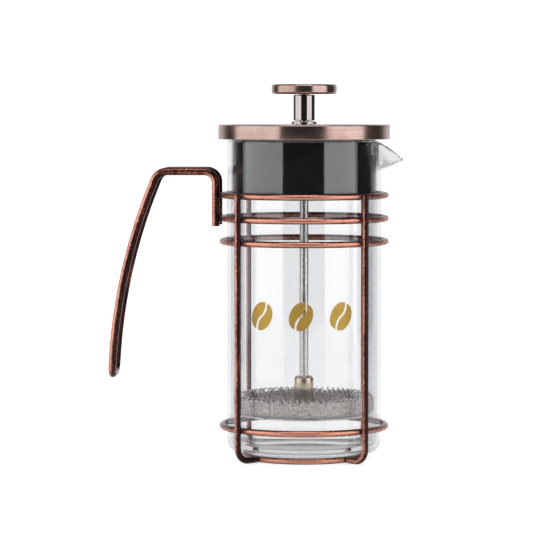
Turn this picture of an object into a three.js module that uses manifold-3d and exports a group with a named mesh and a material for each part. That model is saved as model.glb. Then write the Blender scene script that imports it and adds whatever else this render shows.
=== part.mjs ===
// A coffee press: a glass beaker in a welded wire frame, with a lid and a filter plunger.
// Millimetres, +Z up. The origin is the middle of the footprint, on the table plane.
// Every piece is modelled about the press axis, and the whole press is centred at the end.

import * as THREE from 'three';
import { mergeVertices } from 'three/addons/utils/BufferGeometryUtils.js';
import Module from 'manifold-3d';

const wasm = await Module();
wasm.setup();

// Clearances
const TOUCH = 0.3; // between pieces that touch, are welded or are clamped together
const SLIDE = 0.3; // round a shaft that slides or turns in its hole

// Glass beaker
const GLASS_RADIUS = 35.9;
const GLASS_HEIGHT = 145.2;
const GLASS_WALL = 1.8;
const GLASS_FLOOR = 2.8;
const GLASS_CORNER = 5;
const GLASS_INNER_CORNER = 3.5;
const SPOUT_REACH = 11.2; // how far the tip stands out from the wall
const SPOUT_TIP_DROP = 9.4; // how far the tip lies below the rim
const SPOUT_DEPTH = 14.8; // rim to the lowest point that the spout pulls out
const SPOUT_HALF_ANGLE = THREE.MathUtils.degToRad(27);
const SPOUT_NARROWING = 1.6; // 1 keeps a straight cone; more pinches it towards the tip
const SPOUT_TIP_ROUND = 0.08;
const SPOUT_FLARE = 1.2; // 1 leaves the wall in a straight line; more curls it outwards

// Wire frame
const WIRE_RADIUS = 1.45;
const RING_CLEARANCE = 0.7; // between the glass and the rings
const TOP_RING_BELOW_RIM = 25.6;
const RING_PITCH = 10.75;
const LOWER_RING_HEIGHT = 15.2;
const BASE_RING_INSET = 3.4; // from the edge of the glass's flat bottom
const LEG_ANGLE = THREE.MathUtils.degToRad(45);
const LEG_BEND = 6;
const LEG_TIP = 1.4; // leg above the centre of the top ring

// Handle
const GRIP_WIRE_RADIUS = 1.85;
const GRIP_SPACING = 20; // between the centres of the two wires
const GRIP_TAIL = 3.5; // wire below the centre of the second ring
const GRIP_RISE = 11.1; // top of the handle above the centre of the top ring
const GRIP_REACH = 51.4; // outside of the rings to the outside of the grip
const GRIP_FOOT = 37.5; // table to the underside of the grip
const GRIP_CURVE = 260;
const GRIP_LEAN = THREE.MathUtils.degToRad(3.45); // of the grip's lower end
const GRIP_INNER_BEND = 5.2;
const GRIP_OUTER_BEND = 6.5;
const GRIP_FOOT_BEND = 6;

// Lid
const CAP_OVERHANG = 4.1; // beyond the glass
const CAP_HEIGHT = 6.9;
const CAP_SHEET = 0.8;
const CAP_EDGE = 0.6;
const PLATE_THICKNESS = 1.8; // the plastic insert's flange
const BOSS_RADIUS = 9;
const SKIRT_CLEARANCE = 0.7; // between the skirt and the glass
const SKIRT_WALL = 1.8;
const SKIRT_DEPTH = 27.5;
const SLOT_COUNT = 5;
const SLOT_WIDTH = 1.8;
const SLOT_HEIGHT = 14;
const SLOT_BELOW_FLANGE = 3;
const SLOT_PITCH = THREE.MathUtils.degToRad(7);
const SLOT_CUT = 7; // radial length of the cutter that goes through the skirt's wall
const FERRULE_RADIUS = 6;
const FERRULE_FLANGE = 1.1;
const FERRULE_EDGE = 0.37;
const FERRULE_STEM = 4;
const FERRULE_TAIL = 4.2; // stem below the flange plate, for the nut
const FERRULE_NUT_WIDTH = 11;
const FERRULE_NUT_HEIGHT = 3;

// Plunger
const KNOB_RADIUS = 15.2;
const KNOB_THICKNESS = 4.7;
const KNOB_EDGE = 0.9;
const NECK_RADIUS = 5.1;
const NECK_HEIGHT = 12;
const SPIGOT_RADIUS = 2.4;
const SPIGOT_LENGTH = 3;
const ROD_RADIUS = 2.05;
const ROD_IN_NECK = 7;
const ROD_IN_COUPLING = 5;
const COUPLING_RADIUS = 4.5;
const COUPLING_HEIGHT = 15.1;
const COUPLING_SHOULDER = 1.3;
const STUD_RADIUS = 1.9;
const STUD_IN_COUPLING = 4;
const NUT_WIDTH = 8;
const NUT_HEIGHT = 2.4;
const FILTER_HEIGHT = 20.2; // table to the underside of the cross plate, plunger down
const FILTER_CLEARANCE = 1.3; // between the screen and the glass
const PLATE_SHEET = 0.8;
const SCREEN_SHEET = 0.5;
const SCREEN_DEPTH = 8;
const SCREEN_CORNER = 2.2;
const CROSS_PLATE_INSET = 3.2; // cross plate's edge inside the screen's
const SPRING_COIL = 2.05;
const SPRING_RISE = 0.9; // top of the spring above the screen's edge
const HOLE_COUNT = 8;
const HOLE_RADIUS = 3.4;
const HOLE_CIRCLE = 17;

// Facets
const ROUND = 48;
const GLASS_ROUND = 60;
const RING_ROUND = 36;
const SMALL_ROUND = 24;
const WIRE_SIDES = 8;
const BEND_STEPS = 5;
const GRIP_STEPS = 9;
const SPOUT_ROWS = 5;
const HOLE_SIDES = 10;
const WIDE_CORNER_STEPS = 4;
const CORNER_STEPS = 3;
const EDGE_STEPS = 2;

// Derived sizes
const wireWidth = 2 * WIRE_RADIUS;
const glassBottom = wireWidth + TOUCH;
const rimHeight = glassBottom + GLASS_HEIGHT;
const glassInner = GLASS_RADIUS - GLASS_WALL;
const ringRadius = GLASS_RADIUS + RING_CLEARANCE + WIRE_RADIUS;
const ringOuter = ringRadius + WIRE_RADIUS;
const legRadius = ringOuter + TOUCH + WIRE_RADIUS;
const topRingHeight = rimHeight - TOP_RING_BELOW_RIM;
const ringHeights = [0, 1, 2].map((row) => topRingHeight - row * RING_PITCH);
const baseRingRadius = GLASS_RADIUS - GLASS_CORNER - BASE_RING_INSET;
const gripTop = topRingHeight + GRIP_RISE;
const gripReach = ringOuter + GRIP_REACH;
const capRadius = GLASS_RADIUS + CAP_OVERHANG;
const capBottom = rimHeight + TOUCH;
const capTop = capBottom + CAP_HEIGHT;
const flangeTop = capBottom + PLATE_THICKNESS;
const skirtOuter = glassInner - SKIRT_CLEARANCE;
const skirtBottom = capBottom - SKIRT_DEPTH;
const ferruleTop = capTop + TOUCH + FERRULE_FLANGE;
const neckBottom = ferruleTop + TOUCH;
const neckTop = neckBottom + NECK_HEIGHT;
const knobBottom = neckTop + TOUCH;
const crossTop = FILTER_HEIGHT + PLATE_SHEET;
const screenBottom = crossTop + TOUCH;
const screenOuter = glassInner - FILTER_CLEARANCE;
const screenFloor = screenBottom + SCREEN_SHEET;
const screenTop = screenBottom + SCREEN_DEPTH;
const springPlateBottom = screenFloor + TOUCH;
const springPlateTop = springPlateBottom + PLATE_SHEET;
const springRadius = screenOuter - SCREEN_SHEET - TOUCH - SPRING_COIL;
const springHeight = screenTop + SPRING_RISE - SPRING_COIL;
const springPlateRadius = springRadius - SPRING_COIL - TOUCH;
const couplingBottom = springPlateTop + TOUCH;
const couplingTop = couplingBottom + COUPLING_HEIGHT;
const studHole = STUD_RADIUS + SLIDE;

// Finishes
const copper = () => new THREE.MeshStandardMaterial({ color: 0x8a4a35, roughness: 0.32, metalness: 1 });
const brushedCopper = () => new THREE.MeshStandardMaterial({ color: 0xa06a58, roughness: 0.38, metalness: 1 });
const chrome = () => new THREE.MeshStandardMaterial({ color: 0xd8d4d2, roughness: 0.08, metalness: 1 });
const steel = () => new THREE.MeshStandardMaterial({ color: 0xb9b6b2, roughness: 0.3, metalness: 1 });
const nickel = () => new THREE.MeshStandardMaterial({ color: 0xa89c84, roughness: 0.25, metalness: 1 });
const screenSteel = () => new THREE.MeshStandardMaterial({ color: 0x8f8b87, roughness: 0.5, metalness: 1 });
const blackPlastic = () => new THREE.MeshStandardMaterial({ color: 0x17171a, roughness: 0.15, metalness: 0 });
const glass = () => new THREE.MeshStandardMaterial({
  color: 0xf2f6f7, roughness: 0.03, metalness: 0, transparent: true, opacity: 0.3,
});

function piece(name, geometry, material) {
  const mesh = new THREE.Mesh(geometry, material);
  mesh.name = name;
  return mesh;
}

// A shape turned about the press axis from [radius, height] points.
function turned(profile, segments = ROUND) {
  const points = profile.map(([radius, height]) => new THREE.Vector2(radius, height));
  return new THREE.LatheGeometry(points, segments).rotateX(Math.PI / 2);
}

// Points on an arc from one angle to another, in degrees, both ends included.
function arc([centreX, centreY], radius, from, to, steps) {
  return Array.from({ length: steps + 1 }, (_, step) => {
    const angle = THREE.MathUtils.degToRad(from + ((to - from) * step) / steps);
    return [centreX + radius * Math.cos(angle), centreY + radius * Math.sin(angle)];
  });
}

// A wire's section: a polygon with a flat on each side of the wire at its true radius.
function wireSection(radius) {
  const corner = radius / Math.cos(Math.PI / WIRE_SIDES);
  const half = 180 / WIRE_SIDES;
  return arc([0, 0], corner, half, half + 360 - 360 / WIRE_SIDES, WIRE_SIDES - 1);
}

function wireRing(radius, height, wireRadius) {
  const section = wireSection(wireRadius).map(([x, y]) => [radius + x, height + y]);
  return turned([...section, section[0]], RING_ROUND);
}

// A wire's centre line: straights of one step and bends of several, run end to end, so that
// each step ends exactly where a straight meets a bend.
class WirePath extends THREE.Curve {
  constructor(stretches) {
    super();
    this.steps = stretches.flatMap(([curve, count]) => (
      Array.from({ length: count }, (_, step) => ({ curve, from: step / count, to: (step + 1) / count }))
    ));
  }

  at(t) {
    const index = Math.min(this.steps.length - 1, Math.floor(t * this.steps.length + 1e-9));
    const { curve, from, to } = this.steps[index];
    return [curve, from + (to - from) * (t * this.steps.length - index)];
  }

  getPointAt(t, target) {
    const [curve, share] = this.at(t);
    return curve.getPoint(share, target);
  }

  getTangentAt(t, target) {
    const [curve, share] = this.at(t);
    return curve.getTangent(share, target);
  }

  getSpacedPoints(divisions) {
    return Array.from({ length: divisions + 1 }, (_, step) => this.getPointAt(step / divisions));
  }
}

function bentWire(stretches, wireRadius) {
  const section = new THREE.Shape(wireSection(wireRadius).map(([x, y]) => new THREE.Vector2(x, y)));
  const path = new WirePath(stretches);
  return new THREE.ExtrudeGeometry(section, {
    steps: path.steps.length, extrudePath: path, bevelEnabled: false,
  });
}

// An arc in space about a centre, in the plane of two directions at right angles. Its angles
// are measured from the first direction towards the second.
class SpaceArc extends THREE.Curve {
  constructor(centre, first, second, radius, from, to) {
    super();
    Object.assign(this, { centre, first, second, radius, from, to });
  }

  getPoint(t, target = new THREE.Vector3()) {
    const angle = this.from + (this.to - this.from) * t;
    return target.copy(this.centre)
      .addScaledVector(this.first, this.radius * Math.cos(angle))
      .addScaledVector(this.second, this.radius * Math.sin(angle));
  }
}

function line(from, to) {
  return [new THREE.LineCurve3(from, to), 1];
}

function bend(...arcValues) {
  return [new SpaceArc(...arcValues), BEND_STEPS];
}

// A flat plate with holes, from `bottom` to `top`; the holes are [x, y, radius, sides].
function plate(outline, holes, bottom, top) {
  const shape = new THREE.Shape(outline.map(([x, y]) => new THREE.Vector2(x, y)));
  for (const [x, y, radius, sides] of holes) {
    const rim = arc([x, y], radius, 0, 360 - 360 / sides, sides - 1);
    shape.holes.push(new THREE.Path(rim.map(([rimX, rimY]) => new THREE.Vector2(rimX, rimY))));
  }
  const geometry = new THREE.ExtrudeGeometry(shape, { depth: top - bottom, bevelEnabled: false });
  return geometry.translate(0, 0, bottom);
}

function disc(radius, holes, bottom, top) {
  return plate(arc([0, 0], radius, 0, 360 - 360 / ROUND, ROUND - 1), holes, bottom, top);
}

function hexNut(width, bore, bottom, top) {
  const corner = width / 2 / Math.cos(Math.PI / 6);
  return plate(arc([0, 0], corner, 0, 300, 5), [[0, 0, bore, SMALL_ROUND]], bottom, top);
}

function solidOf(geometry) {
  const bare = geometry.clone();
  bare.deleteAttribute('normal');
  bare.deleteAttribute('uv');
  const merged = mergeVertices(bare, 1e-4);
  return new wasm.Manifold(new wasm.Mesh({
    numProp: 3,
    vertProperties: merged.attributes.position.array,
    triVerts: new Uint32Array(merged.index.array),
  }));
}

function geometryOf(solid) {
  const mesh = solid.getMesh();
  const geometry = new THREE.BufferGeometry();
  geometry.setAttribute('position', new THREE.BufferAttribute(mesh.vertProperties, 3));
  geometry.setIndex(new THREE.BufferAttribute(mesh.triVerts, 1));
  return geometry;
}

// Glass beaker -------------------------------------------------------------------------------

// How strongly the spout pulls the wall at an angle from its middle: 1 there, 0 at its sides.
function spoutPull(angle) {
  const share = Math.min(1, Math.abs(angle) / SPOUT_HALF_ANGLE);
  const rounded = (Math.hypot(share, SPOUT_TIP_ROUND) - SPOUT_TIP_ROUND)
    / (Math.hypot(1, SPOUT_TIP_ROUND) - SPOUT_TIP_ROUND);
  return (1 - rounded) ** SPOUT_NARROWING;
}

// Draws the wall near the rim outwards and down into the spout.
function drawSpout(geometry) {
  const place = geometry.attributes.position;
  const root = rimHeight - SPOUT_DEPTH;
  for (let i = 0; i < place.count; i += 1) {
    const x = place.getX(i);
    const y = place.getY(i);
    const rise = (place.getZ(i) - root) / SPOUT_DEPTH;
    const pull = spoutPull(Math.atan2(y, x));
    if (rise > 0 && pull > 0) {
      const radius = Math.hypot(x, y);
      const stretch = (radius + SPOUT_REACH * pull * rise ** SPOUT_FLARE) / radius;
      place.setXYZ(i, x * stretch, y * stretch, place.getZ(i) - SPOUT_TIP_DROP * pull ** SPOUT_FLARE * rise);
    }
  }
  return geometry;
}

function glassBeaker() {
  const spoutRows = Array.from({ length: SPOUT_ROWS }, (_, row) => rimHeight - SPOUT_DEPTH * (1 - row / SPOUT_ROWS));
  const wallRows = [...spoutRows, rimHeight - GLASS_WALL / 2];
  const floorHeight = glassBottom + GLASS_FLOOR;
  const outerCorner = [GLASS_RADIUS - GLASS_CORNER, glassBottom + GLASS_CORNER];
  const innerCorner = [glassInner - GLASS_INNER_CORNER, floorHeight + GLASS_INNER_CORNER];
  const rim = [glassInner + GLASS_WALL / 2, rimHeight - GLASS_WALL / 2];
  const profile = [
    [0, glassBottom],
    ...arc(outerCorner, GLASS_CORNER, -90, 0, WIDE_CORNER_STEPS),
    ...wallRows.map((height) => [GLASS_RADIUS, height]),
    ...arc(rim, GLASS_WALL / 2, 0, 180, WIDE_CORNER_STEPS).slice(1, -1),
    ...wallRows.toReversed().map((height) => [glassInner, height]),
    ...arc(innerCorner, GLASS_INNER_CORNER, 0, -90, CORNER_STEPS),
    [0, floorHeight],
  ];
  return piece('glass_beaker', drawSpout(turned(profile, GLASS_ROUND)), glass());
}

// Wire frame ---------------------------------------------------------------------------------

// A leg stands outside the rings, bends in under the glass and ends at the base ring.
function leg(name, azimuth) {
  const up = new THREE.Vector3(0, 0, 1);
  const out = new THREE.Vector3(1, 0, 0);
  const top = new THREE.Vector3(legRadius, 0, topRingHeight + LEG_TIP);
  const bendTop = new THREE.Vector3(legRadius, 0, WIRE_RADIUS + LEG_BEND);
  const bendCentre = bendTop.clone().addScaledVector(out, -LEG_BEND);
  const bendEnd = bendCentre.clone().addScaledVector(up, -LEG_BEND);
  const stubEnd = new THREE.Vector3(baseRingRadius + wireWidth + TOUCH - WIRE_RADIUS, 0, WIRE_RADIUS);
  const down = up.clone().negate();
  const stretches = [
    line(top, bendTop),
    bend(bendCentre, out, down, LEG_BEND, 0, Math.PI / 2),
    line(bendEnd, stubEnd),
  ];
  const mesh = piece(name, bentWire(stretches, WIRE_RADIUS), copper());
  mesh.rotation.z = azimuth;
  return mesh;
}

// One side of the handle, from its tail at the rings to the bend at its foot.
function gripSide(side) {
  const y = (side * GRIP_SPACING) / 2;
  const corner = GRIP_WIRE_RADIUS / Math.cos(Math.PI / WIRE_SIDES);
  const weldX = -Math.sqrt((ringOuter + TOUCH + corner) ** 2 - y ** 2);
  const left = new THREE.Vector3(-1, 0, 0);
  const right = new THREE.Vector3(1, 0, 0);
  const up = new THREE.Vector3(0, 0, 1);
  const inward = new THREE.Vector3(0, -side, 0);
  const point = (x, z) => new THREE.Vector3(x, y, z);

  const footDrop = GRIP_FOOT_BEND * Math.cos(GRIP_LEAN) + GRIP_WIRE_RADIUS;
  const gripEnd = point(
    GRIP_WIRE_RADIUS + GRIP_FOOT_BEND * Math.sin(GRIP_LEAN) - gripReach,
    GRIP_FOOT + footDrop,
  );
  const gripCentre = point(
    gripEnd.x + GRIP_CURVE * Math.cos(GRIP_LEAN),
    gripEnd.z - GRIP_CURVE * Math.sin(GRIP_LEAN),
  );
  const shoulderZ = gripTop - GRIP_OUTER_BEND;
  const shoulderLean = Math.asin((shoulderZ - gripCentre.z) / (GRIP_CURVE - GRIP_OUTER_BEND));
  const shoulderX = gripCentre.x - (GRIP_CURVE - GRIP_OUTER_BEND) * Math.cos(shoulderLean);

  const tail = point(weldX, ringHeights[1] - GRIP_TAIL);
  const neckEnd = point(weldX, gripTop - GRIP_INNER_BEND);
  const neckCentre = point(weldX - GRIP_INNER_BEND, gripTop - GRIP_INNER_BEND);
  const footwards = new THREE.Vector3(-Math.sin(GRIP_LEAN), 0, -Math.cos(GRIP_LEAN));
  const footCentre = gripEnd.clone().addScaledVector(inward, GRIP_FOOT_BEND);
  return [
    line(tail, neckEnd),
    bend(neckCentre, right, up, GRIP_INNER_BEND, 0, Math.PI / 2),
    line(point(neckCentre.x, gripTop), point(shoulderX, gripTop)),
    bend(point(shoulderX, shoulderZ), up, left, GRIP_OUTER_BEND, 0, Math.PI / 2 - shoulderLean),
    [new SpaceArc(gripCentre, left, up, GRIP_CURVE, shoulderLean, GRIP_LEAN), GRIP_STEPS],
    bend(footCentre, inward.clone().negate(), footwards, GRIP_FOOT_BEND, 0, Math.PI / 2),
  ];
}

// The same curve run the other way.
class Reversed extends THREE.Curve {
  constructor(curve) {
    super();
    this.curve = curve;
  }

  getPoint(t, target) {
    return this.curve.getPoint(1 - t, target);
  }

  getTangent(t, target) {
    return this.curve.getTangent(1 - t, target).negate();
  }
}

function handleLoop() {
  const near = gripSide(-1);
  const far = gripSide(1).toReversed().map(([curve, steps]) => [new Reversed(curve), steps]);
  const foot = line(near.at(-1)[0].getPoint(1), far[0][0].getPoint(0));
  return piece('handle_loop', bentWire([...near, foot, ...far], GRIP_WIRE_RADIUS), copper());
}

function wireFrame() {
  const frame = new THREE.Group();
  const ringNames = ['ring_top', 'ring_second', 'ring_third'];
  ringNames.forEach((name, row) => {
    frame.add(piece(name, wireRing(ringRadius, ringHeights[row], WIRE_RADIUS), copper()));
  });
  frame.add(piece('ring_lower', wireRing(ringRadius, LOWER_RING_HEIGHT, WIRE_RADIUS), copper()));
  frame.add(piece('base_ring', wireRing(baseRingRadius, WIRE_RADIUS, WIRE_RADIUS), copper()));
  frame.add(leg('leg_rear_right', Math.PI / 2 - LEG_ANGLE));
  frame.add(leg('leg_rear_left', Math.PI / 2 + LEG_ANGLE));
  frame.add(leg('leg_front_left', -Math.PI / 2 - LEG_ANGLE));
  frame.add(leg('leg_front_right', -Math.PI / 2 + LEG_ANGLE));
  frame.add(handleLoop());
  return frame;
}

// Lid ----------------------------------------------------------------------------------------

function lidCap() {
  const bore = FERRULE_STEM + SLIDE;
  const inside = capRadius - CAP_SHEET;
  return piece('lid_cap', turned([
    [inside, capBottom],
    [capRadius, capBottom],
    ...arc([capRadius - CAP_EDGE, capTop - CAP_EDGE], CAP_EDGE, 0, 90, EDGE_STEPS),
    [bore, capTop],
    [bore, capTop - CAP_SHEET],
    [inside, capTop - CAP_SHEET],
    [inside, capBottom],
  ]), brushedCopper());
}

// The plastic insert: a flange on the glass rim, a boss for the ferrule and a skirt in the glass.
// Slots through the skirt let coffee out towards the spout.
function lidSkirt() {
  const bore = FERRULE_STEM + SLIDE;
  const bossTop = capTop - CAP_SHEET - TOUCH;
  const body = turned([
    [bore, capBottom],
    [skirtOuter - SKIRT_WALL, capBottom],
    [skirtOuter - SKIRT_WALL, skirtBottom],
    [skirtOuter, skirtBottom],
    [skirtOuter, capBottom],
    [capRadius - CAP_SHEET - TOUCH, capBottom],
    [capRadius - CAP_SHEET - TOUCH, flangeTop],
    [BOSS_RADIUS, flangeTop],
    [BOSS_RADIUS, bossTop],
    [bore, bossTop],
    [bore, capBottom],
  ]);
  let solid = solidOf(body);
  for (let index = 0; index < SLOT_COUNT; index += 1) {
    const slot = new THREE.BoxGeometry(SLOT_CUT, SLOT_WIDTH, SLOT_HEIGHT);
    slot.translate(skirtOuter - SKIRT_WALL / 2, 0, capBottom - SLOT_BELOW_FLANGE - SLOT_HEIGHT / 2);
    slot.rotateZ((index - (SLOT_COUNT - 1) / 2) * SLOT_PITCH);
    solid = solid.subtract(solidOf(slot));
  }
  return piece('lid_skirt', geometryOf(solid), blackPlastic());
}

function lidFerrule() {
  const bore = ROD_RADIUS + SLIDE;
  const flangeBottom = capTop + TOUCH;
  const stemBottom = capBottom - FERRULE_TAIL;
  return piece('lid_ferrule', turned([
    [bore, stemBottom],
    [FERRULE_STEM, stemBottom],
    [FERRULE_STEM, flangeBottom],
    [FERRULE_RADIUS, flangeBottom],
    [FERRULE_RADIUS, ferruleTop - FERRULE_EDGE],
    [FERRULE_RADIUS - FERRULE_EDGE, ferruleTop],
    [bore, ferruleTop],
    [bore, stemBottom],
  ], SMALL_ROUND), chrome());
}

function ferruleNut() {
  const top = capBottom - TOUCH;
  const bore = FERRULE_STEM + SLIDE;
  return piece('ferrule_nut', hexNut(FERRULE_NUT_WIDTH, bore, top - FERRULE_NUT_HEIGHT, top), steel());
}

function lid() {
  const group = new THREE.Group();
  group.add(lidCap(), lidSkirt(), lidFerrule(), ferruleNut());
  return group;
}

// Plunger ------------------------------------------------------------------------------------

function knobDisc() {
  const top = knobBottom + KNOB_THICKNESS;
  return piece('knob_disc', turned([
    [0, neckTop - SPIGOT_LENGTH],
    [SPIGOT_RADIUS, neckTop - SPIGOT_LENGTH],
    [SPIGOT_RADIUS, knobBottom],
    ...arc([KNOB_RADIUS - KNOB_EDGE, knobBottom + KNOB_EDGE], KNOB_EDGE, -90, 0, EDGE_STEPS),
    ...arc([KNOB_RADIUS - KNOB_EDGE, top - KNOB_EDGE], KNOB_EDGE, 0, 90, EDGE_STEPS),
    [0, top],
  ]), brushedCopper());
}

function knobNeck() {
  const spigotBore = SPIGOT_RADIUS + SLIDE;
  const rodBore = ROD_RADIUS + SLIDE;
  return piece('knob_neck', turned([
    [0, neckBottom + ROD_IN_NECK + TOUCH],
    [rodBore, neckBottom + ROD_IN_NECK + TOUCH],
    [rodBore, neckBottom],
    [NECK_RADIUS, neckBottom],
    [NECK_RADIUS, neckTop],
    [spigotBore, neckTop],
    [spigotBore, neckTop - SPIGOT_LENGTH - TOUCH],
    [0, neckTop - SPIGOT_LENGTH - TOUCH],
  ], SMALL_ROUND), chrome());
}

function plungerRod() {
  const bottom = couplingTop - ROD_IN_COUPLING;
  const top = neckBottom + ROD_IN_NECK;
  return piece('plunger_rod', turned([
    [0, bottom],
    [ROD_RADIUS, bottom],
    [ROD_RADIUS, top],
    [0, top],
  ], SMALL_ROUND), steel());
}

function rodCoupling() {
  const rodBore = ROD_RADIUS + SLIDE;
  const rodSeat = couplingTop - ROD_IN_COUPLING - TOUCH;
  const studSeat = couplingBottom + STUD_IN_COUPLING + TOUCH;
  const shoulder = [COUPLING_RADIUS - COUPLING_SHOULDER, couplingTop - COUPLING_SHOULDER];
  return piece('rod_coupling', turned([
    [0, studSeat],
    [studHole, studSeat],
    [studHole, couplingBottom],
    [COUPLING_RADIUS, couplingBottom],
    ...arc(shoulder, COUPLING_SHOULDER, 0, 90, CORNER_STEPS),
    [rodBore, couplingTop],
    [rodBore, rodSeat],
    [0, rodSeat],
  ], SMALL_ROUND), nickel());
}

// The holes that let coffee through a plate, round the hole for the stud.
function plateHoles() {
  const holes = arc([0, 0], HOLE_CIRCLE, 0, 360 - 360 / HOLE_COUNT, HOLE_COUNT - 1);
  return [[0, 0, studHole, SMALL_ROUND], ...holes.map(([x, y]) => [x, y, HOLE_RADIUS, HOLE_SIDES])];
}

function springPlate() {
  return piece('spring_plate', disc(springPlateRadius, plateHoles(), springPlateBottom, springPlateTop), steel());
}

function crossPlate() {
  const radius = screenOuter - CROSS_PLATE_INSET;
  return piece('cross_plate', disc(radius, plateHoles(), FILTER_HEIGHT, crossTop), steel());
}

// The spring that presses the screen against the glass, as the ring that its coils fill.
function edgeSpring() {
  return piece('edge_spring', wireRing(springRadius, springHeight, SPRING_COIL), steel());
}

function meshScreen() {
  const inner = screenOuter - SCREEN_SHEET;
  const corner = [screenOuter - SCREEN_CORNER, screenBottom + SCREEN_CORNER];
  return piece('mesh_screen', turned([
    [studHole, screenBottom],
    ...arc(corner, SCREEN_CORNER, -90, 0, CORNER_STEPS),
    [screenOuter, screenTop],
    [inner, screenTop],
    ...arc(corner, SCREEN_CORNER - SCREEN_SHEET, 0, -90, CORNER_STEPS),
    [studHole, screenFloor],
    [studHole, screenBottom],
  ]), screenSteel());
}

function clampStud() {
  const bottom = FILTER_HEIGHT - TOUCH - NUT_HEIGHT;
  return piece('clamp_stud', turned([
    [0, bottom],
    [STUD_RADIUS, bottom],
    [STUD_RADIUS, couplingBottom + STUD_IN_COUPLING],
    [0, couplingBottom + STUD_IN_COUPLING],
  ], SMALL_ROUND), steel());
}

function filterNut() {
  const top = FILTER_HEIGHT - TOUCH;
  return piece('filter_nut', hexNut(NUT_WIDTH, studHole, top - NUT_HEIGHT, top), steel());
}

function plunger() {
  const group = new THREE.Group();
  group.add(knobDisc(), knobNeck(), plungerRod(), rodCoupling());
  group.add(springPlate(), edgeSpring(), meshScreen(), crossPlate(), clampStud(), filterNut());
  return group;
}

// The press, centred over its footprint --------------------------------------------------------

const press = new THREE.Group();
press.add(wireFrame(), glassBeaker(), lid(), plunger());
press.updateMatrixWorld(true);
const footprint = new THREE.Box3().setFromObject(press, true);
press.position.x = -(footprint.min.x + footprint.max.x) / 2;
press.updateMatrixWorld(true);

export default press;
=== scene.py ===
# %% [markdown]
# # A coffee press in glass and copper
# The press is a glass beaker in a cage of welded wire, a pressed metal lid with a black plastic
# skirt, and a plunger with a sprung filter. The CAD model gives the main sizes and all places. Each
# cell below takes one piece or one finish, models it more finely than the CAD does, and lets it
# ride on the CAD body that it belongs to, so that it moves with the joints.

# %% Load the fixed frame
import math

import bmesh
import bpy
from mathutils import Matrix, Vector, noise


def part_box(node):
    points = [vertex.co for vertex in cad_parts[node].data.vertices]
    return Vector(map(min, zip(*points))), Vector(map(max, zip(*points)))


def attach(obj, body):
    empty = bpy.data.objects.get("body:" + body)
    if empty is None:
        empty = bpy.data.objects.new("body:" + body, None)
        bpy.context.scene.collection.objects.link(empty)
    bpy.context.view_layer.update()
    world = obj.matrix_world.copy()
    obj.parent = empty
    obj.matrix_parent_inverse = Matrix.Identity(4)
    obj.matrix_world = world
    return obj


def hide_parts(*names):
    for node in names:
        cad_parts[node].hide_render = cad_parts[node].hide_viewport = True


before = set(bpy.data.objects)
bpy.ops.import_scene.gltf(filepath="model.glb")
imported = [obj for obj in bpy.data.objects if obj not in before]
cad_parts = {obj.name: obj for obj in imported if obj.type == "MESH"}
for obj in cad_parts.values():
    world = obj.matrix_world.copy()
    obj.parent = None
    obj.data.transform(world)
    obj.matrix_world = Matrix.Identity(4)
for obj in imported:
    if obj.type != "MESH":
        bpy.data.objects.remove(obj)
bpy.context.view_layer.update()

# %% [markdown]
# ## Sizes that the CAD gives
# Nearly everything here is round about one upright line, the press axis, so the middle of the lid
# gives that line. Heights and radii are then read from the boxes of the CAD nodes instead of being
# typed in again, and only wall thicknesses and roundings are stated in the cells that use them.

# %% The press axis, and heights and radii of the nodes
MM = 0.001
low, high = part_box("lid_cap")
AXIS = Vector(((low.x + high.x) / 2, (low.y + high.y) / 2, 0))
UP = Vector((0, 0, 1))


def bottom(node):
    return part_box(node)[0].z


def top(node):
    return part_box(node)[1].z


def middle(node):
    return (top(node) + bottom(node)) / 2


def radius(node):
    lowest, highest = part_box(node)
    return (highest.y - lowest.y) / 2


def level(vector):
    """The direction of a vector as seen from above, one long."""
    return Vector((vector.x, vector.y, 0)).normalized()


print(f"press axis at x {AXIS.x / MM:.1f} mm, beaker {2 * radius('glass_beaker') / MM:.1f} mm wide")

# %% [markdown]
# ## Nodes for finishes
# A finish is a small tree of shader nodes. Writing each node as one line keeps the trees readable,
# so one helper adds a node, sets its options and fills or links its inputs in one call. The others
# are short ways to the nodes that every finish uses: sums, noise, a ramp from a value to a colour,
# a mix of two colours, and relief.

# %% Helpers that build a finish


def add(tree, kind, inputs=None, **options):
    made = tree.nodes.new("ShaderNode" + kind)
    for option, value in options.items():
        setattr(made, option, value)
    for socket, value in (inputs or {}).items():
        if isinstance(value, bpy.types.NodeSocket):
            tree.links.new(value, made.inputs[socket])
        else:
            made.inputs[socket].default_value = value
    return made


def new_finish(slot, **sockets):
    finish = bpy.data.materials.new(f"{slot}_finish")
    finish["slot"] = slot
    finish.use_nodes = True
    shader = finish.node_tree.nodes["Principled BSDF"]
    for socket, value in sockets.items():
        shader.inputs[socket.replace("_", " ").title().replace("Ior", "IOR")].default_value = value
    return finish.node_tree, shader, finish


def maths(tree, operation, *values):
    return add(tree, "Math", dict(enumerate(values)), operation=operation).outputs[0]


def on_object(tree):
    return add(tree, "TexCoord").outputs["Object"]


def speckle(tree, place, scale, detail, **more):
    inputs = {"Vector": place, "Scale": scale, "Detail": detail, **more}
    return add(tree, "TexNoise", inputs).outputs["Fac"]


def ramp(tree, value, stops):
    made = add(tree, "ValToRGB", {"Fac": value})
    elements = made.color_ramp.elements
    while len(elements) < len(stops):
        elements.new(1.0)
    for element, (place, colour) in zip(elements, stops):
        element.position = place
        element.color = (*colour, 1)
    return made.outputs["Color"]


def drive(tree, shader, socket, value, *stops):
    """Lets a value set one socket of the shader, through a ramp."""
    tree.links.new(ramp(tree, value, stops), shader.inputs[socket])


def grey(brightness):
    return (brightness, brightness, brightness)


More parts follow.
